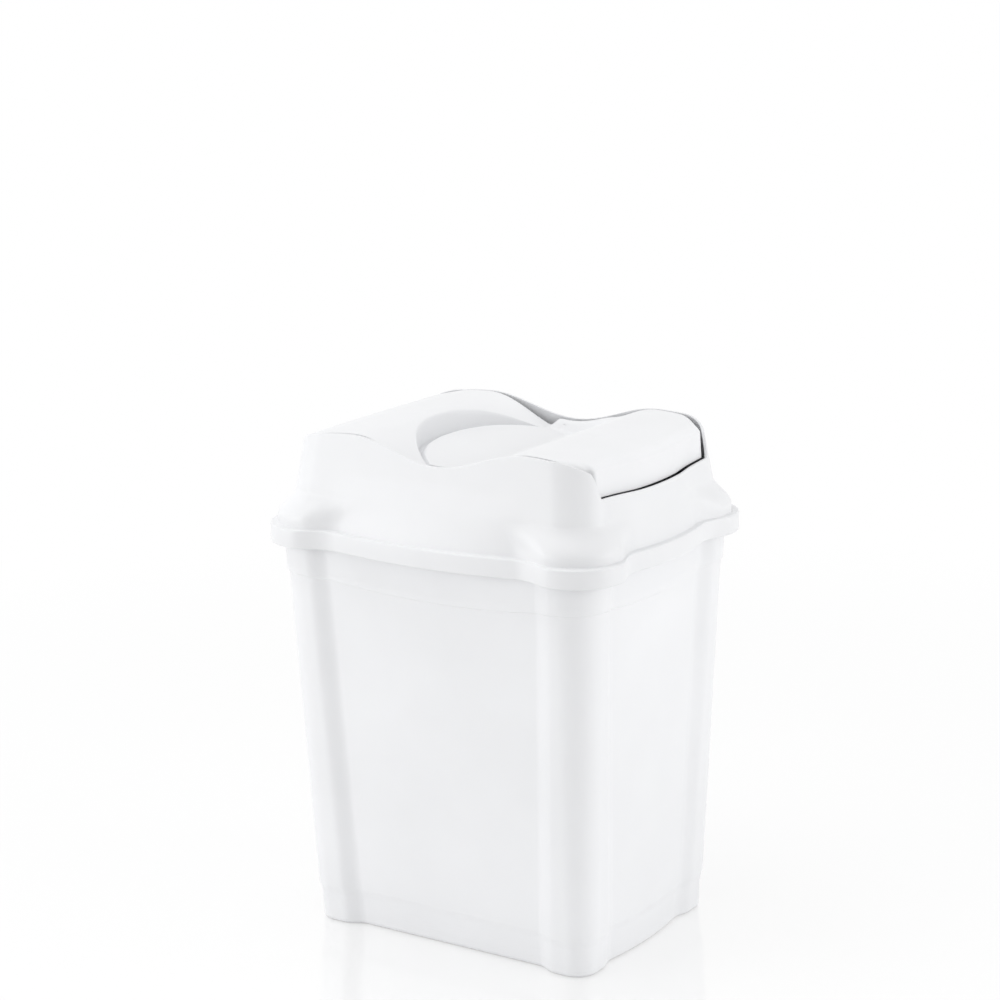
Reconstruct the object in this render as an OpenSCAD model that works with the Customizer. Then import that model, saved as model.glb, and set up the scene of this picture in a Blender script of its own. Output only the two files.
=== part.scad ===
// Small swing-lid bin for a worktop: an open bin, a hood that seats over its rim,
// and a waved flap that swings on two stub pins inside the hood.
// Millimetres. +X runs along the long side, -Y is the front, Z = 0 is the table.
// The origin is the middle of the foot.

/* [Bin] */
// Length of the foot over its corner columns
foot_length = 181.6; // [176:0.2:188]
// Width of the foot over its corner columns
foot_width = 135.0; // [131:0.2:140]
// Plan radius of the corners at the foot
foot_corner = 13.5; // [10:0.5:18]
// Length of the bin over its corner columns, at the rim
mouth_length = 201.0; // [197:0.2:205]
// Width of the bin over its corner columns, at the rim
mouth_width = 160.0; // [157:0.2:163]
// Plan radius of the corners at the rim
mouth_corner = 18.9; // [15:0.1:22]
// Height of the rim above the table
rim_height = 230.0; // [180:1:260]
// Wall of the bin
bin_wall = 1.8; // [1.4:0.1:2.4]
// Thickness of the floor
floor_wall = 2.4; // [1.8:0.1:4]
// How far the panels between the corner columns are set back
panel_inset = 4.7; // [3:0.1:5.5]
// Length of a corner column along each side
column_length = 21.0; // [20:0.5:26]
// Length over which a panel turns into a corner column
panel_run = 12.7; // [9:0.1:18]
// Bow of the end panels at the foot
foot_end_bow = 5.0; // [0:0.5:6]
// Height of the set-in foot band
foot_height = 19.0; // [12:0.5:30]
// How far the foot band is set in
foot_step = 1.2; // [0.4:0.1:2]
// Height over which the band's step fades into the wall
foot_fade = 6.0; // [2:0.5:8]
// Rounding of the foot's lower edge
foot_round = 2.0; // [1.2:0.1:3]
// Distance from the rim down to the collar's lower edge, at the corners
collar_drop = 25.0; // [18:0.5:32]
// How much lower the collar's edge runs in the middle of each side
collar_bow = 5.5; // [0:0.5:8]
// How far the collar stands out
collar_step = 1.2; // [0.6:0.1:1.5]
// How far the rim reaches out past the bin's ends
rim_reach_end = 7.1; // [6.5:0.1:9]
// How far the rim reaches out past the bin's long sides
rim_reach_side = 4.1; // [3.9:0.1:6]
// Thickness of the rim
rim_wall = 1.8; // [1.2:0.1:2.4]

/* [Hood lip] */
// Plan radius of the lip's corner lobes
lip_corner = 27.3; // [24:0.1:27.5]
// Height of the lip
lip_height = 10.5; // [8:0.5:14]
// Wall of the lip
lip_wall = 1.8; // [1.2:0.1:2.4]
// Play between the lip and the rim inside it
lip_play = 0.8; // [0.4:0.1:1]
// Length of a corner lobe along each side
lobe_length = 27.6; // [27.5:0.1:32]
// Length over which a side turns into a corner lobe
lobe_run = 26.0; // [20:0.5:32]
// Depth by which the sides would fall behind the lobes without their bow
lobe_dip = 12.7; // [9:0.1:14]
// How far the middle of the lip's ends stays behind the lobes
lip_end_back = 1.1; // [0:0.1:3]
// How far the middle of the lip's long sides stays behind the lobes
lip_side_back = 0.2; // [0:0.1:3]
// Width of the ledge between the lip's edge and the hood's wall
ledge = 3.5; // [2.5:0.1:5]
// Play between the hood's seat and the rim's top
seat_play = 0.2; // [0.1:0.05:0.4]

/* [Hood wall] */
// Wall of the hood
hood_wall = 1.6; // [1.2:0.1:2.2]
// Height above the ledge at which the corner flare starts
flare_start = 4.0; // [2:0.5:6]
// Height above the ledge at which the corner flare ends
flare_end = 20.0; // [16:0.5:24]
// How far the corners flare out
flare_reach = 8.7; // [7:0.1:10]
// How much tighter the hood's corners are at the ledge than the lip's
flare_corner_cut = 1.3; // [0:0.1:2]
// Plan radius of the hood's corners above the flare
hood_corner = 22.0; // [19:0.5:24]
// Lean of the end walls, in millimetres for each millimetre of height
end_lean = 0.12; // [0.08:0.01:0.16]
// Lean of the long walls, in millimetres for each millimetre of height
side_lean = 0.16; // [0.12:0.01:0.18]
// Bow of the end walls at their top edge
end_bow = 3.0; // [0:0.25:4]
// Height of the end walls above the ledge, at the corners
end_height = 31.4; // [28:0.2:34]
// How much lower the end wall's edge is in its middle
end_dip = 2.0; // [0:0.25:3]

/* [Wave] */
// Height of the rim's crests above the ledge
crest_height = 52.6; // [50:0.2:55]
// Height of the rim's saddle above the ledge
saddle_height = 41.4; // [39:0.2:44]
// Distance of the saddle from the middle of the hood
saddle_x = 3.0; // [-4:0.5:4]
// Distance from the saddle to a crest
half_wave = 55.0; // [50:0.5:60]
// Fall of the wave from a crest to the end of the hood
end_fall = 7; // [4:0.5:8]

/* [Flap] */
// Gap between the flap and the hood
flap_gap = 1.7; // [1.2:0.1:2.2]
// Upright gap between the end lips and the end walls
lip_gap = 0.1; // [0:0.1:1]
// Skin of the flap
flap_skin = 1.5; // [1.2:0.1:2]
// How far the flap's crests stay below the rim's crests
crest_drop = 0; // [0:0.1:1]
// How far the flap's saddle stays below the rim's saddle
saddle_drop = 7.4; // [6:0.2:9]
// Length of the bend that turns the flap's end down
bend_length = 6.0; // [4:0.5:9]
// Fall of that bend
bend_fall = 3.6; // [2:0.1:5]
// Lean of the end lips over their height
lip_lean = 0.8; // [0.4:0.1:1.2]
// Wall of the half-moon cheeks
cheek_wall = 2.4; // [1.8:0.1:2.8]
// Depth of the cheeks below the lips' lower edge
cheek_depth = 50.0; // [30:1:54]

/* [Finger recess] */
// Reach of the recess from the saddle line to its edge
recess_reach = 47.0; // [40:0.5:50]
// Plan radius of the recess edge
recess_radius = 65.2; // [60:0.2:70]
// Rise of the tongue from the saddle line
tongue_rise = 8.0; // [5:0.2:9]
// Width of the pocket between the recess edge and the tongue
pocket_width = 8.5; // [7:0.25:11]
// Depth of the pocket below the tongue's crest
pocket_depth = 4.5; // [2:0.25:6]
// Run of the steep recess wall
recess_wall_run = 1.2; // [0.8:0.1:2]

/* [Pivot] */
// Distance of the pivot from the middle of the hood
pivot_x = -0.4; // [-0.4:0.1:4]
// Depth of the pivot below the rim's saddle
pivot_drop = 4.8; // [4.6:0.1:5.5]
// Diameter of the stub pins
pin_d = 4.4; // [3.6:0.1:5]
// Radial clearance of a pin in its hole
pin_clearance = 0.06; // [0.03:0.01:0.1]
// How far the flap's ears stay below the rim beside the pins
ear_gap = 0.6; // [0.4:0.1:1]
// Where the level stretch of an ear begins on the left
ear_left = -4.0; // [-6:0.5:-4]
// Where the level stretch of an ear ends on the right
ear_right = 24.0; // [14:0.5:28]
// Length over which an ear fades out on the left
ear_fade_left = 8.0; // [6:0.5:12]
// Length over which an ear fades out on the right
ear_fade_right = 20.0; // [12:0.5:24]
// Width over which the flap's surface rises into the ear
ear_run = 7.5; // [5:0.5:9]
// How far a pin's end stands past the cheek
pin_past = 0.3; // [0.2:0.1:1]

/* [Hidden] */
$fn = 48;

// Points along one long side, one end and one corner of a plan outline
side_steps = 22;
end_steps = 16;
corner_steps = 8;
// Rounding of thin edges
edge = 0.5;
// Share of a rounding's radius at which the middle of its arc lies
arc_middle = 1 - cos(45);

ledge_z = rim_height + seat_play + rim_wall;
lip_z = ledge_z - lip_height;
shoulder_z = ledge_z + flare_end;
end_z = ledge_z + end_height;
crest_z = ledge_z + crest_height;
rim_saddle_z = ledge_z + saddle_height;
flap_crest_z = crest_z - crest_drop;
flap_saddle_z = rim_saddle_z - saddle_drop;
pivot_z = rim_saddle_z - pivot_drop;
flap_inset = hood_wall + flap_gap;

function mix(a, b, k) = a + (b - a) * k;
function clamp(v) = min(max(v, 0), 1);
function ease(v) = let (c = clamp(v)) c * c * (3 - 2 * c);

// A plan outline is [half length, half width, corner radius, end bow, side bow, dip, lobe length, run].
// Its sides dip behind the corner lobes by the dip, less their bow.
function side_back(d, half, lobe, run, dip, bow) =
    ease((half - lobe - abs(d)) / run) * (dip - bow * (1 - pow(d / (half - lobe), 2)));
function inward(p, d) = [p[0] - d, p[1] - d, p[2] - d, p[3], p[4], p[5], p[6] - d, p[7]];

// A place on an outline is [kind, end sign, side sign, position], the same on every outline.
places = concat(
    [for (k = [0:side_steps]) ["side", 1, -1, -1 + 2 * k / side_steps]],
    [for (k = [1:corner_steps - 1]) ["corner", 1, -1, 90 - 90 * k / corner_steps]],
    [for (k = [0:end_steps]) ["end", 1, 0, -1 + 2 * k / end_steps]],
    [for (k = [1:corner_steps - 1]) ["corner", 1, 1, 90 * k / corner_steps]],
    [for (k = [0:side_steps]) ["side", 1, 1, 1 - 2 * k / side_steps]],
    [for (k = [1:corner_steps - 1]) ["corner", -1, 1, 90 - 90 * k / corner_steps]],
    [for (k = [0:end_steps]) ["end", -1, 0, 1 - 2 * k / end_steps]],
    [for (k = [1:corner_steps - 1]) ["corner", -1, -1, 90 * k / corner_steps]]
);

function side_point(s, p) =
    let (x = s[3] * (p[0] - p[2]))
    [x, s[2] * (p[1] - side_back(x, p[0], p[6], p[7], p[5], p[4]))];
function end_point(s, p) =
    let (y = s[3] * (p[1] - p[2]))
    [s[1] * (p[0] - side_back(y, p[1], p[6], p[7], p[5], p[3])), y];
function corner_point(s, p) =
    [s[1] * (p[0] - p[2] + p[2] * cos(s[3])), s[2] * (p[1] - p[2] + p[2] * sin(s[3]))];
function plan_point(s, p) =
    s[0] == "side" ? side_point(s, p) : s[0] == "end" ? end_point(s, p) : corner_point(s, p);
function lift(xy, z) = [xy[0], xy[1], z];
function level_loop(p, z) = [for (s = places) lift(plan_point(s, p), z)];

// Skins a stack of loops. A tube joins its last loop to its first, and a closed stack has two flat caps.
module skin(loops, tube) {
    n = len(loops[0]);
    m = len(loops);
    bands = tube ? m : m - 1;
    sides = [
        for (k = [0:bands - 1], i = [0:n - 1])
            let (
                here = k * n,
                above = (k + 1) % m * n,
                next = (i + 1) % n
            )
            each [[here + i, above + next, here + next], [here + i, above + i, above + next]]
    ];
    low = m * n;
    high = low + 1;
    top = (m - 1) * n;
    caps = tube ? [] : [for (i = [0:n - 1]) each [[low, i, (i + 1) % n], [high, top + (i + 1) % n, top + i]]];
    middles = [[0, 0, loops[0][0][2]], [0, 0, loops[m - 1][0][2]]];
    polyhedron(
        points = concat([for (l = loops) each l], tube ? [] : middles),
        faces = concat(sides, caps),
        convexity = 10
    );
}

// ---- Bin ----

function bin_plan(z, d) =
    let (k = z / rim_height)
    inward([
        mix(foot_length, mouth_length, k) / 2,
        mix(foot_width, mouth_width, k) / 2,
        mix(foot_corner, mouth_corner, k),
        mix(foot_end_bow, 0, k),
        0,
        panel_inset,
        column_length,
        panel_run
    ], d);

function rim_plan(d) =
    inward([
        mouth_length / 2 + rim_reach_end,
        mouth_width / 2 + rim_reach_side,
        lip_corner - lip_wall - lip_play,
        lobe_dip - lip_end_back,
        lobe_dip - lip_side_back,
        lobe_dip,
        lobe_length - lip_wall - lip_play,
        lobe_run
    ], d);

// How near a place is to the middle of its side: 0 at the corners, 1 in the middle
function middleness(s) = s[0] == "corner" ? 0 : 1 - s[3] * s[3];
function collar_z(s) = rim_height - collar_drop - collar_bow * middleness(s);
function collar_loop(dz, d) = [
    for (s = places)
        let (z = collar_z(s) + dz)
        lift(plan_point(s, bin_plan(z, d)), z)
];

module bin_body() {
    foot_in = foot_step + bin_wall;
    floor_round = foot_round + bin_wall;
    color("#f4f5f5")
    skin([
        level_loop(bin_plan(0, foot_step + foot_round), 0),
        level_loop(bin_plan(0, foot_step + foot_round * arc_middle), foot_round * arc_middle),
        level_loop(bin_plan(0, foot_step), foot_round),
        level_loop(bin_plan(foot_height, foot_step), foot_height - foot_fade / 2),
        level_loop(bin_plan(foot_height, foot_step / 2), foot_height),
        level_loop(bin_plan(foot_height, 0), foot_height + foot_fade / 2),
        collar_loop(-edge, 0),
        collar_loop(edge, -collar_step),
        level_loop(bin_plan(rim_height, -collar_step), rim_height - rim_wall),
        level_loop(rim_plan(edge), rim_height - rim_wall),
        level_loop(rim_plan(0), rim_height - rim_wall + edge),
        level_loop(rim_plan(0), rim_height - edge),
        level_loop(rim_plan(edge), rim_height),
        level_loop(bin_plan(rim_height, bin_wall - collar_step), rim_height),
        collar_loop(edge, bin_wall - collar_step),
        collar_loop(-edge, bin_wall),
        level_loop(bin_plan(foot_height, bin_wall), foot_height + foot_fade / 2),
        level_loop(bin_plan(foot_height, foot_in), foot_height - foot_fade / 2),
        level_loop(bin_plan(0, foot_in), floor_wall + floor_round),
        level_loop(bin_plan(0, foot_in + floor_round * arc_middle), floor_wall + floor_round * arc_middle),
        level_loop(bin_plan(0, foot_in + floor_round), floor_wall)
    ], false);
}

// ---- Hood ----

function lip_plan(d) = rim_plan(d - lip_wall - lip_play);
lip_half_l = mouth_length / 2 + rim_reach_end + lip_play + lip_wall;
lip_half_w = mouth_width / 2 + rim_reach_side + lip_play + lip_wall;

// Plan of the hood's wall at a height: the corners flare, and the middle of each side runs straight down
function flare(z) = ease((z - ledge_z - flare_start) / (flare_end - flare_start));
function hood_half(foot, lean, z) = foot - ledge - flare_reach * flare(z) - lean * (z - shoulder_z);
function hood_mid(foot, back, top, z) = mix(foot - ledge - back, top, clamp((z - ledge_z) / end_height));
function hood_plan(z, d) =
    let (
        a = z < shoulder_z ? hood_half(lip_half_l, 0, z) : hood_half(lip_half_l, end_lean, z),
        b = z < shoulder_z ? hood_half(lip_half_w, 0, z) : hood_half(lip_half_w, side_lean, z),
        top_a = hood_half(lip_half_l, end_lean, end_z) + end_bow,
        top_b = hood_half(lip_half_w, side_lean, end_z),
        dip = lobe_dip * (1 - flare(z)),
        end_mid = z < end_z ? hood_mid(lip_half_l, lip_end_back, top_a, z) : a + end_bow,
        side_mid = z < end_z ? hood_mid(lip_half_w, lip_side_back, top_b, z) : b
    )
    inward([
        a,
        b,
        mix(lip_corner - flare_corner_cut, hood_corner, flare(z)),
        dip + end_mid - a,
        dip + side_mid - b,
        dip,
        lobe_length,
        lobe_run
    ], d);

// Wave of the rim or the flap along the hood
function wave(x, low, high) =
    let (
        u = abs(x - saddle_x),
        past = max(u - half_wave, 0),
        reach = lip_half_l - ledge - flare_reach - half_wave
    )
    mix(low, high, (1 - cos(180 * min(u, half_wave) / half_wave)) / 2) - end_fall * pow(past / reach, 2);
function rim_wave(x) = wave(x, rim_saddle_z, crest_z);

// Top edge of the hood. Round a corner it stays at the end wall's height up to a first angle. It climbs
// a share of the way up to the long side's rim by a second angle, and the rest over the whole corner.
climb_start = 12;
climb_end = 30;
climb_share = 0.5;
function corner_share(a) =
    climb_share * ease((a - climb_start) / (climb_end - climb_start))
    + (1 - climb_share) * sin(90 * clamp((a - climb_start) / (90 - climb_start)));
function corner_x(sign) = sign * (hood_half(lip_half_l, end_lean, crest_z) - hood_corner);
function corner_top(sign, a) = mix(end_z, rim_wave(corner_x(sign)), corner_share(a));
function end_top(v) = end_z - end_dip * (1 - v * v);
function hood_top(s) =
    s[0] == "side" ? rim_wave(s[3] * corner_x(1)) : s[0] == "end" ? end_top(s[3]) : corner_top(s[1], s[3]);
function top_loop(share, dz, d) = [
    for (s = places)
        let (z = mix(shoulder_z, hood_top(s), share) + dz)
        lift(plan_point(s, hood_plan(z, d)), z)
];

flare_levels = [2, 4.5, 7, 9, 11, 13, 15, 17.5];

// Stub pins inside the long walls, on the flap's swing axis
pin_root = hood_half(lip_half_w, side_lean, pivot_z) - hood_wall / 2;
cheek_y = hood_half(lip_half_w, side_lean, crest_z) - flap_inset;
pin_tip = cheek_y - cheek_wall - pin_past;

module hood() {
    color("#f6f7f7")
    union() {
        skin(concat(
            [
                level_loop(lip_plan(edge), lip_z),
                level_loop(lip_plan(0), lip_z + edge),
                level_loop(lip_plan(0), ledge_z - 2 * edge),
                level_loop(lip_plan(2 * edge * arc_middle), ledge_z - 2 * edge * arc_middle),
                level_loop(lip_plan(2 * edge), ledge_z),
                level_loop(hood_plan(ledge_z, 0), ledge_z)
            ],
            [for (h = flare_levels) level_loop(hood_plan(ledge_z + h, 0), ledge_z + h)],
            [
                level_loop(hood_plan(shoulder_z, 0), shoulder_z),
                top_loop(0.5, 0, 0),
                top_loop(1, -edge, 0),
                top_loop(1, 0, edge),
                top_loop(1, 0, hood_wall - edge),
                top_loop(1, -edge, hood_wall),
                top_loop(0.5, 0, hood_wall),
                level_loop(hood_plan(shoulder_z, hood_wall), shoulder_z)
            ],
            [
                for (k = [len(flare_levels) - 1:-1:1])
                    let (h = flare_levels[k])
                    level_loop(hood_plan(ledge_z + h, hood_wall), ledge_z + h)
            ],
            [
                level_loop(hood_plan(ledge_z, hood_wall), ledge_z - rim_wall),
                level_loop(lip_plan(lip_wall), ledge_z - rim_wall),
                level_loop(lip_plan(lip_wall), lip_z)
            ]
        ), true);
        for (side = [-1, 1])
            translate([pivot_x, side * (pin_root + pin_tip) / 2, pivot_z])
                rotate([90, 0, 0])
                    cylinder(d = pin_d, h = pin_root - pin_tip, center = true);
    }
}

// ---- Flap ----

// Plan of the flap's edge: the hood's inner face at its top edge, less the gap
function edge_half(lean, foot, a, sign) = hood_half(foot, lean, corner_top(sign, a)) - hood_corner;
function edge_x(a, sign) = edge_half(end_lean, lip_half_l, a, sign) + (hood_corner - flap_inset) * cos(a);
edge_mid_x = edge_x(0, 1);
row_y0 = edge_half(side_lean, lip_half_w, 0, 1);
row_angles = [90, 80, 70, 59, 48, 38, 30, 22, 14, 7];
rows_between = 14;
function row_y(a) = edge_half(side_lean, lip_half_w, a, 1) + (hood_corner - flap_inset) * sin(a);
// How far the end's bow brings a row's end out
function end_bulge(y) =
    -side_back(y, hood_half(lip_half_w, side_lean, end_z), lobe_length, lobe_run, 0, end_bow);
// A row is [y, half length at its end lips' lower edge, fall of its ends]. Round the corners the ends
// fall with the hood's top edge.
function end_drop(a) = min(bend_fall, rim_wave(corner_x(1)) - corner_top(1, a));
corner_rows = [for (a = row_angles) [row_y(a), min(edge_x(a, 1), edge_x(a, -1)), end_drop(a)]];
middle_rows = [
    for (k = [0:rows_between])
        let (y = mix(-row_y0, row_y0, k / rows_between))
        [y, edge_mid_x + end_bulge(y), bend_fall]
];
rows = concat(
    [for (r = corner_rows) [-r[0], r[1], r[2]]],
    middle_rows,
    [for (k = [len(corner_rows) - 1:-1:0]) corner_rows[k]]
);

function flap_wave(x) = wave(x, flap_saddle_z, flap_crest_z);
// Share of an end's fall at a distance from the lip
function bend(d) = 1 - sqrt(1 - pow(1 - clamp(d / bend_length), 2));
// The surface rises into an ear beside each pin, which follows the rim
function ear_share(x) =
    ease((x - ear_left + ear_fade_left) / ear_fade_left)
    * ease((ear_right + ear_fade_right - x) / ear_fade_right);
function ear(x, y) =
    (rim_wave(x) - ear_gap - flap_wave(x)) * ear_share(x)
    * ease((abs(y) - cheek_y + ear_run + edge) / ear_run);
function flap_z(x, y) = flap_wave(x) + ear(x, y);

// Edge of the recess on a row, at least a sliver away from the saddle line. The recess is full
// where it reaches further than the sliver by its fade.
recess_cx = saddle_x - recess_reach + recess_radius;
recess_min = 4;
recess_fade = 5;
function recess_depth(y) = ease((saddle_x - recess_x(y) - recess_min) / recess_fade);
function recess_x(y) =
    abs(y) >= recess_radius ? saddle_x - recess_min
    : min(recess_cx - sqrt(pow(recess_radius, 2) - y * y), saddle_x - recess_min);
// The tongue steepens towards the saddle line by this power
tongue_power = 1.35;
function tongue_z(x) =
    let (t = clamp((saddle_x - x) / (recess_reach - pocket_width)))
    flap_saddle_z + tongue_rise * (1 - pow(1 - t, tongue_power));

// One row of the flap's top, from its left lip to its right lip, as [x, z] points
left_steps = 10;
bend_steps = 5;
tongue_steps = 8;
right_steps = 12;
function lip_bottom(y) = end_top(clamp(abs(y) / row_y0)) + lip_gap;
function bend_part(sign, y, half, fall) = [
    for (k = [0:bend_steps])
        let (d = bend_length * (1 - cos(90 * k / bend_steps)), x = half - lip_lean - d)
        [sign * x, flap_z(sign * x, y) - fall * bend(d)]
];
function top_part(x0, x1, steps, y) = [
    for (k = [1:steps])
        let (x = mix(x0, x1, k / steps))
        [x, flap_z(x, y)]
];
// The pocket's floor is flat over its first share, and then rises to the tongue's crest
pocket_flat = 0.2;
pocket_steps = 4;
function pocket_rise(k) = ease((k - pocket_flat) / (1 - pocket_flat));
// Each point of the recess is [x, z, share of the skin that its underside moves back]
function recess_part(y) =
    let (
        x0 = recess_x(y),
        share = (saddle_x - x0) / recess_reach,
        crest_x = x0 + pocket_width * share,
        foot_x = x0 + recess_wall_run * share,
        crest = tongue_z(crest_x),
        low = crest - pocket_depth * share,
        deep = concat(
            [[foot_x, low + recess_wall_run * share, 1]],
            [
                for (k = [1:pocket_steps - 1])
                    let (part = k / pocket_steps)
                    [mix(foot_x, crest_x, part), mix(low, crest, pocket_rise(part)), max(1 - 2 * part, 0)]
            ],
            [
                for (k = [0:tongue_steps])
                    let (x = mix(crest_x, saddle_x, k / tongue_steps))
                    [x, tongue_z(x), 0]
            ]
        ),
        f = recess_depth(y)
    )
    [for (p = deep) [p[0], mix(flap_wave(p[0]), p[1], f) + ear(p[0], y), p[2]]];
function flap_row(y, half, fall) =
    let (
        left = bend_part(-1, y, half, fall),
        right = bend_part(1, y, half, fall),
        inner = half - lip_lean - bend_length
    )
    concat(
        [[-half, lip_bottom(y)]],
        left,
        top_part(-inner, recess_x(y), left_steps, y),
        recess_part(y),
        top_part(saddle_x, inner - edge, right_steps, y),
        [for (k = [bend_steps:-1:0]) right[k]],
        [[half, lip_bottom(y)]]
    );

// The underside of a row: the skin below its top, behind its lips and behind the recess wall
wall_fade = 12;
edge_place = bend_steps + 1 + left_steps;
function skin_turn(i) = 90 * clamp((i - 1) / bend_steps);
function wall_share(r) = clamp((saddle_x - r[edge_place][0]) / wall_fade);
function back_share(r, i) = i == edge_place ? 1 : len(r[i]) > 2 ? r[i][2] : 0;
function under_point(r, i) =
    let (
        last = len(r) - 1,
        turn = min(skin_turn(i), skin_turn(last - i)),
        out = i < last / 2 ? 1 : -1
    )
    [
        r[i][0] + flap_skin * (out * cos(turn) - back_share(r, i) * wall_share(r)),
        r[i][1] - flap_skin * sin(turn)
    ];
function under_row(r) = [for (i = [0:len(r) - 1]) under_point(r, i)];
function stand(r, y) = [for (p = r) [p[0], y, p[1]]];

// Lower edge of a cheek: a half moon
function cheek_z(x, half) = lip_bottom(cheek_y) - cheek_depth * sqrt(max(1 - pow(x / half, 2), 0));

module flap_shell() {
    half = rows[0][1];
    edge_row = flap_row(cheek_y, half, rows[0][2]);
    cheek_row = [for (p = edge_row) [p[0], cheek_z(p[0], half + edge) - edge]];
    inner_y = cheek_y - cheek_wall;
    outer = concat(
        [stand(cheek_row, -cheek_y)],
        [for (r = rows) stand(flap_row(r[0], r[1], r[2]), r[0])],
        [stand(cheek_row, cheek_y)]
    );
    under_edge = under_row(edge_row);
    under_cheek = [for (i = [0:len(under_edge) - 1]) [under_edge[i][0], cheek_row[i][1]]];
    squeeze = inner_y / cheek_y;
    under = concat(
        [stand(under_cheek, -inner_y)],
        [for (r = rows) stand(under_row(flap_row(r[0] * squeeze, r[1], r[2])), r[0] * squeeze)],
        [stand(under_cheek, inner_y)]
    );
    sheet(outer, under);
}

// Closes two like grids of points, the upper one outside
module sheet(upper, lower) {
    m = len(upper);
    n = len(upper[0]);
    base = m * n;
    cells = [
        for (j = [0:m - 2], i = [0:n - 2])
            let (a = j * n + i, b = a + n)
            [a, a + 1, b, b + 1]
    ];
    border = concat(
        [for (i = [0:n - 2]) i],
        [for (j = [0:m - 2]) j * n + n - 1],
        [for (i = [n - 1:-1:1]) (m - 1) * n + i],
        [for (j = [m - 1:-1:1]) j * n]
    );
    faces = concat(
        [for (c = cells) each [[c[0], c[2], c[3]], [c[0], c[3], c[1]]]],
        [
            for (c = cells)
                each [[base + c[0], base + c[3], base + c[2]], [base + c[0], base + c[1], base + c[3]]]
        ],
        [
            for (k = [0:len(border) - 1])
                let (a = border[k], b = border[(k + 1) % len(border)])
                each [[base + a, b, base + b], [base + a, a, b]]
        ]
    );
    polyhedron(
        points = concat([for (r = upper) each r], [for (r = lower) each r]),
        faces = faces,
        convexity = 10
    );
}

module swing_flap() {
    color("#f8f8f8")
    difference() {
        flap_shell();
        for (side = [-1, 1])
            translate([pivot_x, side * (cheek_y - cheek_wall / 2), pivot_z])
                rotate([90, 0, 0])
                    cylinder(d = pin_d + 2 * pin_clearance, h = cheek_wall + 2 * edge, center = true);
    }
}

bin_body();
hood();
swing_flap();
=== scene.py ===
"""A small swing-lid bin for a worktop, in white plastic.

The open bin, the hood that seats over its rim and the waved flap that swings in the hood are each
one moulding. Every piece lies at its real place and size, with +X along the long side, -Y in front
and the table at z = 0.
"""
from math import cos, pi, radians, sin, sqrt
from typing import NamedTuple

import bpy
import numpy as np
from mathutils import Matrix, Vector


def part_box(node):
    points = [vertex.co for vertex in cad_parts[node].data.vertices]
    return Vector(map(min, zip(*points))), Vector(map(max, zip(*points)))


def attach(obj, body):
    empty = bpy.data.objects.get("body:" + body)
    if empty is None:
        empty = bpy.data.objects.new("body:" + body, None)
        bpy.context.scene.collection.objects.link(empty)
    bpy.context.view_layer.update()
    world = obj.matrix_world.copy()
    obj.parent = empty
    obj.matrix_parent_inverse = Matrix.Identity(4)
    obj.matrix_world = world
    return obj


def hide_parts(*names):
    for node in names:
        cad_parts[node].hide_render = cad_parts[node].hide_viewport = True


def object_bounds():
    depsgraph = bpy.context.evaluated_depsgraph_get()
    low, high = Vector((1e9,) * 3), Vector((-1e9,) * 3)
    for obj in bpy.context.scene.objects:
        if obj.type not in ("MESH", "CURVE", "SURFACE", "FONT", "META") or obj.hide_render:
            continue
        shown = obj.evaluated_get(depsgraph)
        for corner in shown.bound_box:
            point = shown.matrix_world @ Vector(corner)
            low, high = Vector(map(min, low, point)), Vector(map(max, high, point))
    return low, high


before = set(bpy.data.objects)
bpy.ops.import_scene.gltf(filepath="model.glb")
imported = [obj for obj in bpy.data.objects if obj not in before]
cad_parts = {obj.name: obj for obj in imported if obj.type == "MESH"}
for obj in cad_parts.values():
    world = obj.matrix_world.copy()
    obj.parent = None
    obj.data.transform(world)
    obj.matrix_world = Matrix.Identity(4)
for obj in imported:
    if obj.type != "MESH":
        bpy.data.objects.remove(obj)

bl_info = {
    "name": "Swing-Lid Worktop Bin",
    "version": (1, 0, 0),
    "blender": (4, 5, 0),
    "location": "3D View > Sidebar > Swing Bin",
    "description": "Builds a small waved swing-lid bin in moulded white plastic",
    "category": "Object",
}

CAD_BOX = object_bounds()
BIN_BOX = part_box("bin_body")
MM = 0.001


# ---- Sizes and colours that a user may change ----

def length(description, mm):
    """A size, given in millimetres and kept in metres."""
    return bpy.props.FloatProperty(description=description, default=mm * MM, unit="LENGTH", precision=5)


def share(description, value):
    """A plain number."""
    return bpy.props.FloatProperty(description=description, default=value, precision=4)


def angle(description, degrees):
    """An angle, given in degrees."""
    return bpy.props.FloatProperty(
        description=description, default=radians(degrees), unit="ROTATION", subtype="ANGLE"
    )


def colour(description, value):
    """A plain colour."""
    return bpy.props.FloatVectorProperty(
        description=description, default=value, size=3, subtype="COLOR", min=0, max=1
    )


def named(group):
    """Gives each property of a group its key as its name, in plain words."""
    for key, item in group.__annotations__.items():
        item.keywords["name"] = key.replace("_", " ").capitalize()
    return group


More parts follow.
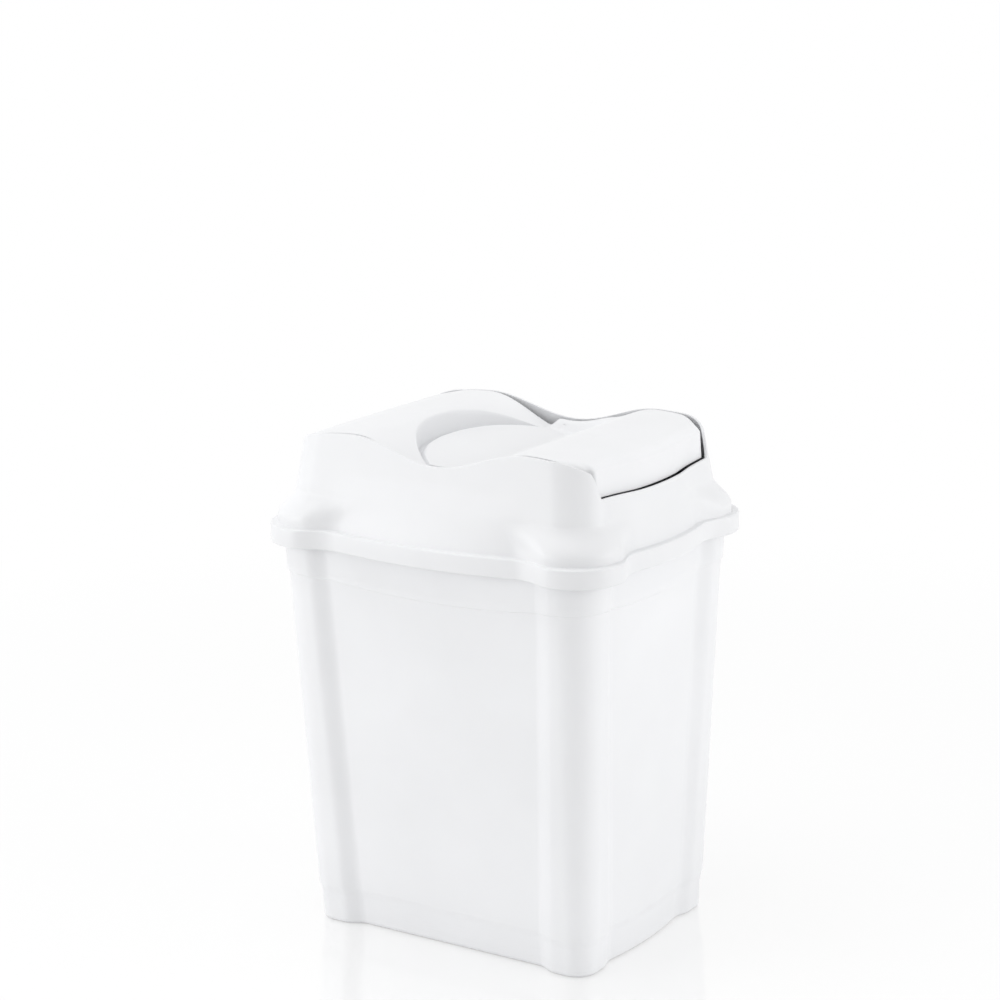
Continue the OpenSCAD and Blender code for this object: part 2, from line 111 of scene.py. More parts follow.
@named
class BinSizes(bpy.types.PropertyGroup):
    foot_length: length("Length of the foot over its corner columns", 181.6)
    foot_width: length("Width of the foot over its corner columns", 135.0)
    foot_corner: length("Plan radius of the corners at the foot", 13.5)
    mouth_length: length("Length over the corner columns at the rim", 201.0)
    mouth_width: length("Width over the corner columns at the rim", 160.0)
    mouth_corner: length("Plan radius of the corners at the rim", 18.9)
    rim_height: length("Height of the rim above the table", BIN_BOX[1].z / MM)
    wall: length("Wall of the bin", 1.8)
    floor: length("Thickness of the floor", 2.4)
    panel_inset: length("How far the panels are set back behind the columns", 4.7)
    column: length("Length of a corner column along each side", 21.0)
    panel_run: length("Length over which a panel turns into a column", 12.7)
    foot_end_bow: length("Bow of the end panels at the foot", 5.0)
    foot_height: length("Height of the set-in foot band", 19.0)
    foot_step: length("How far the foot band is set in", 1.2)
    foot_round: length("Rounding of the foot's lower edge", 2.0)
    collar_drop: length("Rim to the collar's lower edge, at the corners", 25.0)
    collar_bow: length("How much lower the collar runs in mid-side", 5.5)
    collar_step: length("How far the collar stands out", 1.2)
    rim_reach_end: length("How far the rim reaches past the ends", 7.1)
    rim_reach_side: length("How far the rim reaches past the sides", 4.1)
    rim_wall: length("Thickness of the rim", 1.8)


@named
class HoodSizes(bpy.types.PropertyGroup):
    corner: length("Plan radius of the lip's corner lobes", 27.3)
    lip_height: length("Height of the lip", 10.5)
    lip_wall: length("Wall of the lip", 1.8)
    lip_play: length("Play between the lip and the rim inside it", 0.8)
    lobe: length("Length of a corner lobe along each side", 27.6)
    lobe_run: length("Length over which a side turns into a lobe", 26.0)
    lobe_dip: length("Depth by which the sides would fall behind without bow", 12.7)
    end_back: length("How far the middle of the ends stays behind the lobes", 1.1)
    side_back: length("How far the middle of the sides stays behind the lobes", 0.2)
    ledge: length("Ledge between the lip's edge and the hood's wall", 3.5)
    seat_play: length("Play between the hood's seat and the rim", 0.2)
    wall: length("Wall of the hood", 1.6)
    flare_start: length("Height above the ledge where the flare starts", 4.0)
    flare_end: length("Height above the ledge where the flare ends", 20.0)
    flare_reach: length("How far the corners flare out", 8.7)
    flare_corner_cut: length("How much tighter the corners are at the ledge", 1.3)
    top_corner: length("Plan radius of the corners above the flare", 22.0)
    end_lean: share("Lean of the end walls over their height", 0.12)
    side_lean: share("Lean of the long walls over their height", 0.16)
    end_bow: length("Bow of the end walls at their top edge", 3.0)
    end_height: length("Height of the end walls above the ledge", 31.4)
    end_dip: length("How much lower the end wall's edge is in its middle", 2.0)
    crest: length("Height of the rim's crests above the ledge", 52.6)
    saddle: length("Height of the rim's saddle above the ledge", 41.4)
    saddle_x: length("Distance of the saddle from the middle", 3.0)
    half_wave: length("Distance from the saddle to a crest", 55.0)
    end_fall: length("Fall of the wave from a crest to the end", 7.0)


@named
class FlapSizes(bpy.types.PropertyGroup):
    gap: length("Gap between the flap and the hood", 1.7)
    lip_gap: length("Upright gap between the end lips and the end walls", 0.1)
    skin: length("Skin of the flap", 1.5)
    crest_drop: length("How far the flap's crests stay below the rim's", 0.0)
    saddle_drop: length("How far the flap's saddle stays below the rim's", 7.4)
    bend_length: length("Length of the bend that turns the end down", 6.0)
    bend_fall: length("Fall of that bend", 3.6)
    lip_lean: length("Lean of the end lips over their height", 0.8)
    cheek_wall: length("Wall of the half-moon cheeks", 2.4)
    cheek_depth: length("Depth of the cheeks below the lips", 50.0)
    recess_reach: length("Saddle line to the recess edge", 47.0)
    recess_radius: length("Plan radius of the recess edge", 65.2)
    tongue_rise: length("Rise of the tongue from the saddle line", 8.0)
    pocket_width: length("Recess edge to the tongue's crest", 8.5)
    pocket_depth: length("Depth of the pocket below the tongue's crest", 4.5)
    wall_run: length("Run of the steep recess wall", 1.2)
    pivot_x: length("Distance of the pivot from the middle", -0.4)
    pivot_drop: length("Depth of the pivot below the rim's saddle", 4.8)
    pin: length("Diameter of the stub pins", 4.4)
    pin_clearance: length("Radial clearance of a pin in its hole", 0.06)
    pin_past: length("How far a pin's end stands past the cheek", 0.3)
    ear_gap: length("How far the ears stay below the rim", 0.6)
    ear_left: length("Where an ear's level stretch begins on the left", -4.0)
    ear_right: length("Where an ear's level stretch ends on the right", 24.0)
    ear_fade_left: length("Length over which an ear fades out on the left", 8.0)
    ear_fade_right: length("Length over which an ear fades out on the right", 20.0)
    ear_run: length("Width over which the surface rises into the ear", 7.5)


@named
class PlasticFinish(bpy.types.PropertyGroup):
    bin_white: colour("Colour of the bin's plastic", (0.828, 0.833, 0.847))
    # The hood is the same white plastic as the bin and flap, set darker here as painted shade that offsets
    # the extra top light its upward-leaning walls catch.
    hood_white: colour("Colour of the hood's plastic", (0.802, 0.807, 0.820))
    flap_white: colour("Colour of the flap's plastic", (0.829, 0.834, 0.847))
    roughness: share("Roughness of the moulded surface", 0.40)
    grain: length("Size of the fine mould grain", 0.9)


@named
class StudioSizes(bpy.types.PropertyGroup):
    camera_x: length("Place of the camera along the object", 816.289)
    camera_y: length("Place of the camera in front of the object", -1240.968)
    camera_z: length("Height of the camera", 600.508)
    yaw: angle("Turn of the camera about the upright", 33.445)
    pitch: angle("Tilt of the camera below the level", 13.637)
    roll: angle("Roll of the camera", -0.9855)
    lens: share("Focal length in millimetres on a 36 mm frame", 99.94)
    left_softbox: share("Power of the softbox on the left, in watts", 6.5)
    right_softbox: share("Power of the softbox on the right, in watts", 7.4)
    top_softbox: share("Power of the softbox overhead, in watts", 6.9)
    room_light: share("Strength of the pale room around the object", 0.67)


# ---- Numbers that are worked out alike on arrays and on the sockets of a node tree ----

def arithmetic(operation):
    """A sign's two methods: for a term on its left, and for a term on its right alone."""
    def from_left(self, other):
        return self.maths(operation, self, other)

    def from_right(self, other):
        return self.maths(operation, other, self)

    return from_left, from_right


class Term:
    """A number in a node tree: expressions on it add the tree's Math nodes."""

    def __init__(self, tree, socket):
        self.tree = tree
        self.socket = socket

    def maths(self, operation, *values):
        """A Math node on these values."""
        settings = {"operation": operation}
        return self.tree.add("ShaderNodeMath", settings, dict(enumerate(values)))

    __add__, __radd__ = arithmetic("ADD")
    __sub__, __rsub__ = arithmetic("SUBTRACT")
    __mul__, __rmul__ = arithmetic("MULTIPLY")
    __truediv__, __rtruediv__ = arithmetic("DIVIDE")

    def __abs__(self):
        return self.maths("ABSOLUTE", self)

    def within(self, low, high):
        """This number, kept between two others."""
        return self.maths("MINIMUM", self.maths("MAXIMUM", self, low), high)


class Tree:
    """A node tree that is being written."""

    def __init__(self, tree):
        self.tree = tree

    def add(self, kind, settings, inputs, output=0):
        """Adds a node: its settings first, then the values or links of its sockets."""
        node = self.tree.nodes.new(kind)
        for key, value in settings.items():
            setattr(node, key, value)
        for key, value in inputs.items():
            if isinstance(value, Term):
                self.tree.links.new(value.socket, node.inputs[key])
            else:
                node.inputs[key].default_value = value
        return Term(self, node.outputs[output])

    def link(self, term, node, name):
        """Links a number or colour to a socket of a node that is there already."""
        self.tree.links.new(term.socket, node.inputs[name])


def clamp(value):
    """A number kept between 0 and 1."""
    return value.within(0, 1) if isinstance(value, Term) else np.clip(value, 0, 1)


def mix(a, b, k):
    """From a to b as k goes from 0 to 1."""
    return a + (b - a) * k


def ease(value):
    """A smooth rise from 0 to 1."""
    c = clamp(value)
    return c * c * (3 - 2 * c)


# ---- Plan outlines ----

class Plan(NamedTuple):
    """A rounded oblong whose sides dip behind its corner lobes by the dip, less their bow."""
    half_length: object
    half_width: object
    corner: object
    end_bow: object
    side_bow: object
    dip: object
    lobe: object
    run: object

    def inward(self, d):
        """The same outline, set in by a distance."""
        return self._replace(
            half_length=self.half_length - d,
            half_width=self.half_width - d,
            corner=self.corner - d,
            lobe=self.lobe - d,
        )


class Places(NamedTuple):
    """Places round an outline. The first three say whether each lies on a side, an end or a corner."""
    on_side: object
    on_end: object
    on_corner: object
    sign_x: object
    sign_y: object
    along: object
    turn_cos: object
    turn_sin: object


def set_back(d, half, plan, bow):
    """How far a side lies behind its corner lobes, at a distance from its middle."""
    inner = half - plan.lobe
    part = d / inner
    return ease((inner - abs(d)) / plan.run) * (plan.dip - bow * (1 - part * part))


def outline(places, plan):
    """Where the places lie on a plan outline."""
    side_x = places.along * (plan.half_length - plan.corner)
    side_y = plan.half_width - set_back(side_x, plan.half_length, plan, plan.side_bow)
    end_y = places.along * (plan.half_width - plan.corner)
    end_x = plan.half_length - set_back(end_y, plan.half_width, plan, plan.end_bow)
    corner_x = plan.half_length - plan.corner + plan.corner * places.turn_cos
    corner_y = plan.half_width - plan.corner + plan.corner * places.turn_sin
    x = places.on_side * side_x + places.sign_x * (places.on_end * end_x + places.on_corner * corner_x)
    y = places.on_end * end_y + places.sign_y * (places.on_side * side_y + places.on_corner * corner_y)
    return x, y


def ring_places(side_steps, end_steps, corner_steps):
    """Places all the way round, counter-clockwise from above, from the front side's left end."""
    rows = []
    for way in (1, -1):
        for k in range(side_steps + 1):
            rows.append((1, 0, 0, 0, -way, way * (2 * k / side_steps - 1), 0, 0))
        for k in range(1, corner_steps):
            turn = pi / 2 * (1 - k / corner_steps)
            rows.append((0, 0, 1, way, -way, 0, cos(turn), sin(turn)))
        for k in range(end_steps + 1):
            rows.append((0, 1, 0, way, 0, way * (2 * k / end_steps - 1), 0, 0))
        for k in range(1, corner_steps):
            turn = pi / 2 * k / corner_steps
            rows.append((0, 0, 1, way, way, 0, cos(turn), sin(turn)))
    return Places(*np.array(rows, float).T)


SIDE_STEPS = 130
END_STEPS = 100
CORNER_STEPS = 22
RING = ring_places(SIDE_STEPS, END_STEPS, CORNER_STEPS)
RING_TURN = np.arctan2(RING.turn_sin, RING.turn_cos)


def rounding(radius, steps):
    """Set-in and rise along a quarter-round, from its foot to its side."""
    turns = [pi / 2 * k / steps for k in range(steps + 1)]
    return [(radius * (1 - sin(t)), radius * (1 - cos(t))) for t in turns]


# ---- Meshes ----

def new_piece(name, points, faces, material):
    """An object from points and faces, in the scene at the origin."""
    mesh = bpy.data.meshes.new(name)
    mesh.from_pydata([tuple(p) for p in points], [], faces)
    mesh.materials.append(material)
    piece = bpy.data.objects.new(name, mesh)
    bpy.context.scene.collection.objects.link(piece)
    return piece


def bands(rings, places, closed):
    """Faces between rings of places, outwards where the rings climb counter-clockwise."""
    faces = []
    for k in range(rings if closed else rings - 1):
        low = k * places
        high = (k + 1) % rings * places
        for i in range(places):
            j = (i + 1) % places
            faces.append((low + i, low + j, high + j, high + i))
    return faces


def closed_sheet(upper, lower):
    """Points and faces of a sheet with two like grids of points, the upper one outside."""
    rows, places, _ = upper.shape
    base = rows * places
    faces = []
    for j in range(rows - 1):
        for i in range(places - 1):
            a, b = j * places + i, (j + 1) * places + i
            faces.append((a, a + 1, b + 1, b))
            faces.append((base + a, base + b, base + b + 1, base + a + 1))
    border = list(range(places - 1))
    border += [j * places + places - 1 for j in range(rows - 1)]
    border += [(rows - 1) * places + i for i in range(places - 1, 0, -1)]
    border += [j * places for j in range(rows - 1, 0, -1)]
    for a, b in zip(border, border[1:] + border[:1]):
        faces.append((a, base + a, base + b, b))
    points = np.concatenate([upper.reshape(-1, 3), lower.reshape(-1, 3)])
    return points, faces


ROD_SIDES = 72


def rod(name, x, z, profile, material):
    """A round rod along Y. Its profile is a list of places along Y and radii."""
    rings = len(profile)
    turns = [2 * pi * i / ROD_SIDES for i in range(ROD_SIDES)]
    points = [(x + r * cos(t), y, z - r * sin(t)) for y, r in profile for t in turns]
    faces = bands(rings, ROD_SIDES, False)
    last = (rings - 1) * ROD_SIDES
    faces.append(tuple(range(ROD_SIDES - 1, -1, -1)))
    faces.append(tuple(range(last, last + ROD_SIDES)))
    return new_piece(name, points, faces, material)


def plain_mesh(piece):
    """Turns what a piece's modifiers make into its own mesh and removes them."""
    graph = bpy.context.evaluated_depsgraph_get()
    made = bpy.data.meshes.new_from_object(piece.evaluated_get(graph))
    old = piece.data
    piece.modifiers.clear()
    piece.data = made
    made.name = piece.name
    bpy.data.meshes.remove(old)


def join_solid(piece, other, operation):
    """Unites a piece with another solid, or cuts the other out of it, and drops the other."""
    joint = piece.modifiers.new(operation.lower(), "BOOLEAN")
    joint.operation = operation
    joint.solver = "EXACT"
    joint.object = other
    plain_mesh(piece)
    bpy.data.objects.remove(other)


CREASE = radians(35)


def finish_piece(piece, node, body):
    """Smooths a finished piece up to its creases and puts it in the frame in its node's place."""
    piece.data.shade_smooth()
    piece.data.set_sharp_from_angle(angle=CREASE)
    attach(piece, body)
    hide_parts(node)


# ---- Shapes that the pieces share ----

EDGE = 0.5 * MM
CLIMB_START = radians(12)
CLIMB_END = radians(30)
CLIMB_SHARE = 0.5


class Form:
    """Heights and outlines worked out from the sizes."""

    def __init__(self, scene):
        self.bin = scene.bin_sizes
        self.hood = scene.hood_sizes
        self.flap = scene.flap_sizes
        b, h, f = self.bin, self.hood, self.flap
        self.half_length = b.mouth_length / 2 + b.rim_reach_end + h.lip_play + h.lip_wall
        self.half_width = b.mouth_width / 2 + b.rim_reach_side + h.lip_play + h.lip_wall
        self.ledge_z = b.rim_height + h.seat_play + b.rim_wall
        self.lip_z = self.ledge_z - h.lip_height
        self.shoulder_z = self.ledge_z + h.flare_end
        self.end_z = self.ledge_z + h.end_height
        self.crest_z = self.ledge_z + h.crest
        self.saddle_z = self.ledge_z + h.saddle
        self.flap_crest_z = self.crest_z - f.crest_drop
        self.flap_saddle_z = self.saddle_z - f.saddle_drop
        self.pivot_z = self.saddle_z - f.pivot_drop
        self.inset = h.wall + f.gap
        self.corner_x = self.wall_half(self.half_length, h.end_lean, self.crest_z) - h.top_corner
        self.cheek_y = self.wall_half(self.half_width, h.side_lean, self.crest_z) - self.inset
        self.wave_reach = self.half_length - h.ledge - h.flare_reach - h.half_wave

    def lip_plan(self, d):
        """Outline of the hood's lip, set in by a distance."""
        h = self.hood
        return Plan(
            half_length=self.half_length,
            half_width=self.half_width,
            corner=h.corner,
            end_bow=h.lobe_dip - h.end_back,
            side_bow=h.lobe_dip - h.side_back,
            dip=h.lobe_dip,
            lobe=h.lobe,
            run=h.lobe_run,
        ).inward(d)

    def flare(self, z):
        """How far the corners have flared in, from the ledge up."""
        h = self.hood
        return ease((z - self.ledge_z - h.flare_start) / (h.flare_end - h.flare_start))

    def wall_half(self, foot, lean, z):
        """Half length or width of the hood's wall over its corners at a height."""
        h = self.hood
        return foot - h.ledge - h.flare_reach * self.flare(z) - lean * np.maximum(z - self.shoulder_z, 0)

    def hood_plan(self, z, d):
        """Outline of the hood's wall at a height: mid-side runs straight down while the corners flare."""
        h = self.hood
        a = self.wall_half(self.half_length, h.end_lean, z)
        b = self.wall_half(self.half_width, h.side_lean, z)
        top_a = self.wall_half(self.half_length, h.end_lean, self.end_z) + h.end_bow
        top_b = self.wall_half(self.half_width, h.side_lean, self.end_z)
        climb = clamp((z - self.ledge_z) / h.end_height)
        end_mid = mix(self.half_length - h.ledge - h.end_back, top_a, climb)
        side_mid = mix(self.half_width - h.ledge - h.side_back, top_b, climb)
        end_mid = np.where(z < self.end_z, end_mid, a + h.end_bow)
        side_mid = np.where(z < self.end_z, side_mid, b)
        dip = h.lobe_dip * (1 - self.flare(z))
        return Plan(
            half_length=a,
            half_width=b,
            corner=mix(h.corner - h.flare_corner_cut, h.top_corner, self.flare(z)),
            end_bow=dip + end_mid - a,
            side_bow=dip + side_mid - b,
            dip=dip,
            lobe=h.lobe,
            run=h.lobe_run,
        ).inward(d)

    def wave(self, x, low, high):
        """The wave along the hood, from a saddle up to two crests and slightly down to the ends."""
        h = self.hood
        out = abs(x - h.saddle_x)
        turn = pi * np.minimum(out, h.half_wave) / h.half_wave
        past = np.maximum(out - h.half_wave, 0) / self.wave_reach
        return mix(low, high, (1 - np.cos(turn)) / 2) - h.end_fall * past * past

    def rim_wave(self, x):
        """Height of the hood's long top edge."""
        return self.wave(x, self.saddle_z, self.crest_z)

    def end_top(self, along):
        """Height of the end wall's top edge."""
        return self.end_z - self.hood.end_dip * (1 - along * along)

    def corner_top(self, sign, turn):
        """Height of the top edge round a corner, from the end wall up to the long side."""
        first = ease((turn - CLIMB_START) / (CLIMB_END - CLIMB_START))
        whole = np.sin(pi / 2 * clamp((turn - CLIMB_START) / (pi / 2 - CLIMB_START)))
        return mix(self.end_z, self.rim_wave(sign * self.corner_x), mix(whole, first, CLIMB_SHARE))

    def hood_top(self):
        """Height of the hood's top edge at every place of the ring."""
        sides = self.rim_wave(RING.along * self.corner_x)
        corners = self.corner_top(RING.sign_x, RING_TURN)
        return RING.on_side * sides + RING.on_end * self.end_top(RING.along) + RING.on_corner * corners


def ring_at(plan, z):
    """Points of the ring on a plan at a height or at one height for each place."""
    x, y = outline(RING, plan)
    return np.stack([x, y, np.broadcast_to(z, x.shape)], axis=1)


# ---- Bin ----

class Ring(NamedTuple):
    """A ring of the bin's skin.

    The height runs from its own value to the collar's edge by the collar share, and the rise is added.
    The rim share picks the rim's outline, and the pull draws the ring to the middle.
    """
    height: float
    inset: float
    collar: float = 0.0
    rise: float = 0.0
    rim: float = 0.0
    pull: float = 0.0


WALL_RINGS = 12
COLLAR_RINGS = 6
FADE_RINGS = 8
ROUND_RINGS = 6
FLOOR_PULLS = (0.02, 0.5, 1.0)
FOOT_FADE = 6 * MM


def foot_band_rings(b, outer_inset):
    """Rings over which the foot band's step fades into the wall, from the bottom up."""
    rings = []
    for k in range(FADE_RINGS + 1):
        part = k / FADE_RINGS
        height = b.foot_height + FOOT_FADE * (part - 0.5)
        rings.append(Ring(height, outer_inset + b.foot_step * (1 - ease(part))))
    return rings


def wall_rings(b, inset):
    """Rings between the foot band and the collar's edge, from the bottom up."""
    low = b.foot_height + FOOT_FADE / 2
    parts = [k / WALL_RINGS for k in range(1, WALL_RINGS + 1)]
    return [Ring(low, inset, collar=part, rise=-EDGE * part) for part in parts]


def collar_rings(b, inset):
    """Rings over the collar's step, from the bottom up."""
    rings = []
    for k in range(COLLAR_RINGS + 1):
        part = k / COLLAR_RINGS
        rings.append(Ring(0, inset - b.collar_step * ease(part), collar=1, rise=EDGE * (2 * part - 1)))
    return rings


def throat_rings(b, height, inset):
    """Rings between the collar's step and a height near the rim, from the bottom up."""
    parts = [1 - k / COLLAR_RINGS for k in range(1, COLLAR_RINGS + 1)]
    return [Ring(height, inset - b.collar_step, collar=part, rise=EDGE * part) for part in parts]


def bin_rings(b):
    """The whole skin of the bin: under the foot, up the outside, over the rim and down inside."""
    rim_low = b.rim_height - b.rim_wall
    foot_in = b.foot_step + b.wall
    floor_round = b.foot_round + b.wall
    rings = [Ring(0, b.foot_step + b.foot_round, pull=pull) for pull in reversed(FLOOR_PULLS)]
    rings += [Ring(rise, b.foot_step + inset) for inset, rise in rounding(b.foot_round, ROUND_RINGS)]
    rings += foot_band_rings(b, 0)
    rings += wall_rings(b, 0)[:-1]
    rings += collar_rings(b, 0)
    rings += throat_rings(b, rim_low, 0)
    edge = rounding(EDGE, ROUND_RINGS)
    rings += [Ring(rim_low + rise, inset, rim=1) for inset, rise in edge]
    rings += [Ring(b.rim_height - rise, inset, rim=1) for inset, rise in reversed(edge)]
    mouth = b.wall - b.collar_step
    rings += [Ring(b.rim_height - rise, mouth - inset) for inset, rise in edge]
    inside = foot_band_rings(b, b.wall) + wall_rings(b, b.wall)[:-1] + collar_rings(b, b.wall)
    inside += throat_rings(b, b.rim_height - 2 * EDGE, b.wall)
    rings += reversed(inside)
    floor_edge = rounding(floor_round, ROUND_RINGS)
    rings += [Ring(b.floor + rise, foot_in + inset) for inset, rise in reversed(floor_edge)]
    rings += [Ring(b.floor, foot_in + floor_round, pull=pull) for pull in FLOOR_PULLS]
    return rings


def bin_blank(rings, material):
    """A blank for the bin's skin: points that carry their place and ring, for the tree to move."""
    blank = new_piece("bin_body_shell", np.zeros((len(rings) * RING.along.size, 3)),
                      bands(len(rings), RING.along.size, False), material)
    facts = {name: np.tile(values, len(rings)) for name, values in RING._asdict().items()}
    for name in Ring._fields:
        facts[name] = np.repeat([getattr(ring, name) for ring in rings], RING.along.size)
    for name, values in facts.items():
        layer = blank.data.attributes.new(name, "FLOAT", "POINT")
        layer.data.foreach_set("value", values.astype(np.float32))
    return blank


BIN_INPUTS = (
    "foot_length", "foot_width", "foot_corner", "mouth_length", "mouth_width", "mouth_corner", "rim_height",
    "panel_inset", "column", "panel_run", "foot_end_bow", "collar_drop", "collar_bow",
)
MERGE = 0.002 * MM


def bin_tree(form, material):
    """Node tree that moves the blank's points on to the bin's skin. Returns it and its inputs' values."""
    group = bpy.data.node_groups.new("bin_skin", "GeometryNodeTree")
    group.interface.new_socket("Geometry", in_out="OUTPUT", socket_type="NodeSocketGeometry")
    group.interface.new_socket("Blank", in_out="INPUT", socket_type="NodeSocketGeometry")
    tree = Tree(group)
    values = {name: getattr(form.bin, name) for name in BIN_INPUTS}
    rim = form.lip_plan(form.hood.lip_wall + form.hood.lip_play)
    values.update({"rim_" + name: value for name, value in rim._asdict().items()})
    for name in values:
        group.interface.new_socket(name, in_out="INPUT", socket_type="NodeSocketFloat")
    start = group.nodes.new("NodeGroupInput")
    size = {name: Term(tree, start.outputs[name]) for name in values}

    def fact(name):
        return tree.add("GeometryNodeInputNamedAttribute", {"data_type": "FLOAT"}, {"Name": name})

    places = Places(*[fact(name) for name in Places._fields])
    ring = Ring(*[fact(name) for name in Ring._fields])
    middle = (1 - places.on_corner) * (1 - places.along * places.along)
    collar_z = size["rim_height"] - size["collar_drop"] - size["collar_bow"] * middle
    z = mix(ring.height, collar_z, ring.collar) + ring.rise
    part = z / size["rim_height"]
    wall = Plan(
        half_length=mix(size["foot_length"], size["mouth_length"], part) / 2,
        half_width=mix(size["foot_width"], size["mouth_width"], part) / 2,
        corner=mix(size["foot_corner"], size["mouth_corner"], part),
        end_bow=size["foot_end_bow"] * (1 - part),
        side_bow=0.0,
        dip=size["panel_inset"],
        lobe=size["column"],
        run=size["panel_run"],
    )
    rim = Plan(*[size["rim_" + name] for name in Plan._fields])
    plan = Plan(*[mix(a, b, ring.rim) for a, b in zip(wall, rim)]).inward(ring.inset)
    x, y = outline(places, plan)
    keep = 1 - ring.pull
    place = tree.add("ShaderNodeCombineXYZ", {}, {"X": x * keep, "Y": y * keep, "Z": z})
    blank = Term(tree, start.outputs["Blank"])
    skin = tree.add("GeometryNodeSetPosition", {}, {"Geometry": blank, "Position": place})
    skin = tree.add("GeometryNodeMergeByDistance", {}, {"Geometry": skin, "Distance": MERGE})
    skin = tree.add("GeometryNodeRealizeInstances", {}, {"Geometry": skin})
    skin = tree.add("GeometryNodeSetMaterial", {}, {"Geometry": skin, "Material": material})
    end = group.nodes.new("NodeGroupOutput")
    group.links.new(skin.socket, end.inputs["Geometry"])
    return group, values


class SWINGBIN_OT_bin_body(bpy.types.Operator):
    """Makes the open bin: corner columns, set-back panels, foot band, collar and rim"""
    bl_idname = "swingbin.bin_body"
    bl_label = "Bin Body"

    def execute(self, context):
        form = Form(context.scene)
        finish = context.scene.plastic_finish
        material = plastic("bin_plastic", finish.bin_white, finish, scuffed=1.0)
        piece = bin_blank(bin_rings(form.bin), material)
        group, values = bin_tree(form, material)
        skin = piece.modifiers.new("bin_skin", "NODES")
        skin.node_group = group
        for item in group.interface.items_tree:
            if item.in_out == "INPUT" and item.name in values:
                skin[item.identifier] = values[item.name]
        plain_mesh(piece)
        for name in Places._fields + Ring._fields:
            piece.data.attributes.remove(piece.data.attributes[name])
        finish_piece(piece, "bin_body", "bin")
        return {"FINISHED"}


# ---- Hood ----

LIP_EDGE = 0.8 * MM
LEDGE_EDGE = 1.0 * MM
LEDGE_FILLET = 0.7 * MM
TOP_EDGE = 0.5 * MM
FLARE_RINGS = 26
CLIMB_RINGS = 14
PIN_CHAMFER = 0.4 * MM


def hood_rings(form):
    """The hood's skin: up outside the lip and the wall, over the top edge and down inside."""
    h = form.hood
    top = form.hood_top()
    lip_edge = rounding(LIP_EDGE, ROUND_RINGS)
    ledge_edge = rounding(LEDGE_EDGE, ROUND_RINGS)
    fillet = rounding(LEDGE_FILLET, ROUND_RINGS)
    top_edge = rounding(TOP_EDGE, ROUND_RINGS)
    flare = [form.ledge_z + h.flare_end * k / FLARE_RINGS for k in range(1, FLARE_RINGS)]
    climb = [k / CLIMB_RINGS for k in range(CLIMB_RINGS)]

    def wall(z, d):
        return ring_at(form.hood_plan(z, d), z)

    def lip(z, d):
        return ring_at(form.lip_plan(d), z)

    def upper(part, dz, d):
        return wall(mix(form.shoulder_z, top, part) + dz, d)

    rings = [lip(form.lip_z + rise, inset) for inset, rise in lip_edge]
    rings += [lip(form.ledge_z - rise, inset) for inset, rise in reversed(ledge_edge)]
    rings += [wall(form.ledge_z + rise, -inset) for inset, rise in fillet]
    rings += [wall(z, 0) for z in flare]
    rings += [upper(part, 0, 0) for part in climb]
    rings += [upper(1, -rise, inset) for inset, rise in reversed(top_edge)]
    rings += [upper(1, -rise, h.wall - inset) for inset, rise in top_edge]
    rings += [upper(part, 0, h.wall) for part in reversed(climb)]
    rings += [wall(z, h.wall) for z in reversed(flare)]
    under = form.ledge_z - form.bin.rim_wall
    rings.append(ring_at(form.hood_plan(form.ledge_z, h.wall), under))
    rings += [lip(under, h.lip_wall), lip(under - LIP_EDGE, h.lip_wall)]
    rings += [lip(form.lip_z + rise, h.lip_wall - inset) for inset, rise in reversed(lip_edge)]
    return rings


def stub_pin(form, side, material):
    """A stub pin from the middle of a long wall to just past the flap's cheek."""
    h, f = form.hood, form.flap
    radius = f.pin / 2
    root = side * (form.wall_half(form.half_width, h.side_lean, form.pivot_z) - h.wall / 2)
    tip = side * (form.cheek_y - f.cheek_wall - f.pin_past)
    shoulder = tip + side * PIN_CHAMFER
    profile = [(root, radius), (shoulder, radius), (tip, radius - PIN_CHAMFER)]
    if side > 0:
        profile.reverse()
    return rod("stub_pin", f.pivot_x, form.pivot_z, profile, material)


class SWINGBIN_OT_hood(bpy.types.Operator):
    """Makes the hood: lip, ledge, flared wall with its waved top edge, and two stub pins"""
    bl_idname = "swingbin.hood"
    bl_label = "Hood"

    def execute(self, context):
        form = Form(context.scene)
        finish = context.scene.plastic_finish
        # The hood's material takes the darker white: painted shade that offsets the top light on its
        # leaning walls.
        material = plastic("hood_plastic", finish.hood_white, finish, scuffed=0.0)
        rings = hood_rings(form)
        faces = bands(len(rings), RING.along.size, True)
        piece = new_piece("hood_shell", np.concatenate(rings), faces, material)
        for side in (-1, 1):
            join_solid(piece, stub_pin(form, side, material), "UNION")
        finish_piece(piece, "hood", "hood")
        return {"FINISHED"}


# ---- Flap ----

MIDDLE_ROWS = 110
CORNER_TURNS = (*range(2, 74, 3), *range(76, 92, 2))
FLAP_EDGE = 0.35 * MM
LEFT_POINTS = 34
BEND_POINTS = 10
POCKET_POINTS = 14
TONGUE_POINTS = 30
RIGHT_POINTS = 48
CORNER_POINTS = 6
RECESS_FILLET = 1.1 * MM
RECESS_MIN = 4 * MM
RECESS_FADE = 5 * MM
WALL_FADE = 12 * MM
TONGUE_POWER = 1.35
POCKET_FLAT = 0.2
POCKET_START = 0.25
BRINK_SHARE = 0.25
FOOT_SHARE = 0.7
PUSH_SKINS = 4
CHEEK_SUPPORT = 0.4 * MM


def curve_round(start, corner, end):
    """Points on the round curve that a corner makes between two points."""
    t = np.linspace(0, 1, CORNER_POINTS)[:, None]
    return (1 - t) ** 2 * np.array(start) + 2 * t * (1 - t) * np.array(corner) + t ** 2 * np.array(end)


